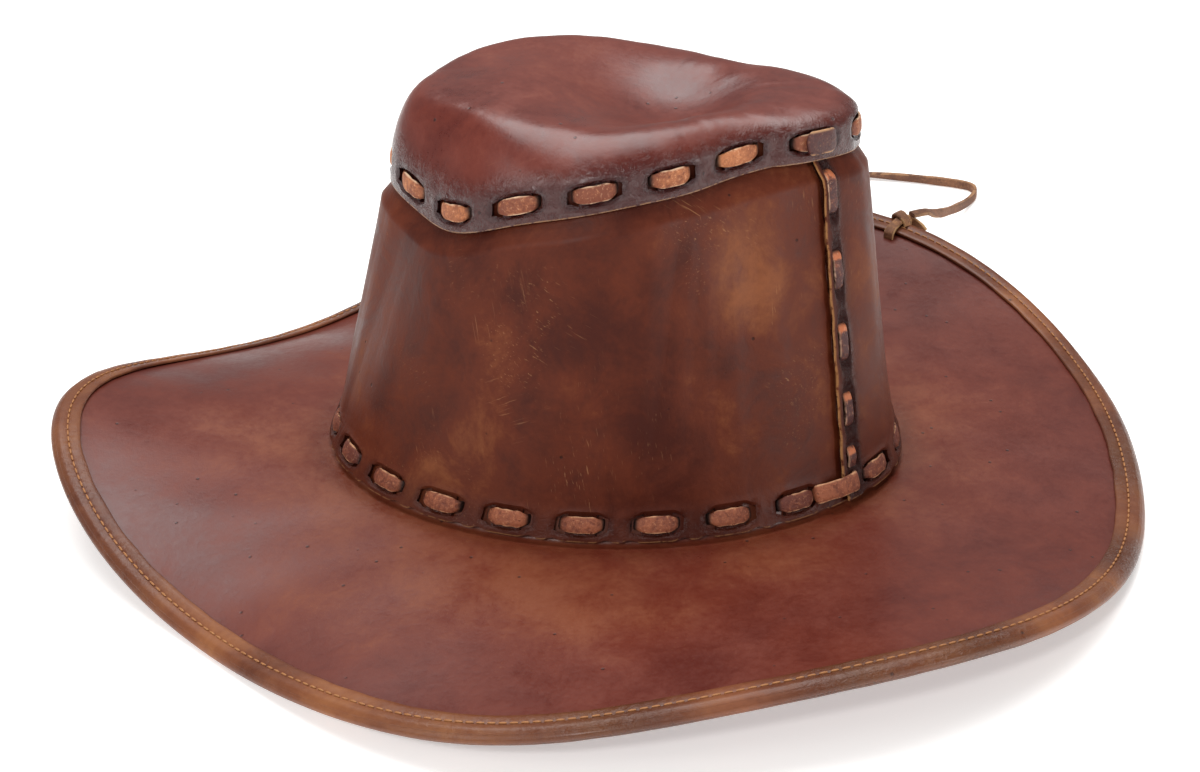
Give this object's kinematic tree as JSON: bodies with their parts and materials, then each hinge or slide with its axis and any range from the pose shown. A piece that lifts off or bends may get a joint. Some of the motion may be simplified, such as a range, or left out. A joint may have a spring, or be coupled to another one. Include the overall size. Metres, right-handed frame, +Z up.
{
  "type": "hat",
  "caption": "Wide-brimmed leather hat with a shaped brim, folded edge tape, wrapped crown wall, laced teardrop cap and a loose thong tied to the rim.",
  "frame": {"origin": "centre of the bottom of the box round the standing hat, measured without the loose thong", "axes": "+Z up from the surface that the hat rests on, -Y toward the front of the hat, +X toward the wearer's left"},
  "size_m": [0.5094, 0.4176, 0.1599],
  "materials": {
    "brim_leather": "waxed, mottled red-brown, semi-gloss",
    "wall_leather": "waxed, mottled orange-brown, semi-gloss",
    "cap_leather": "waxed and polished red-brown, glossy",
    "tape_leather": "tan, worn, stitched along its edge",
    "lace_leather": "light brown with rough cut edges",
    "thong_leather": "tan, matt"
  },
  "bodies": {
    "root": {"brim": "brim_leather", "brim_binding": "tape_leather", "crown_wall": "wall_leather", "crown_cap": "cap_leather", "foot_lace": "lace_leather", "cap_lace": "lace_leather", "seam_lace": "lace_leather", "thong_knot": "thong_leather", "thong": "thong_leather"}
  },
  "joints": []
}
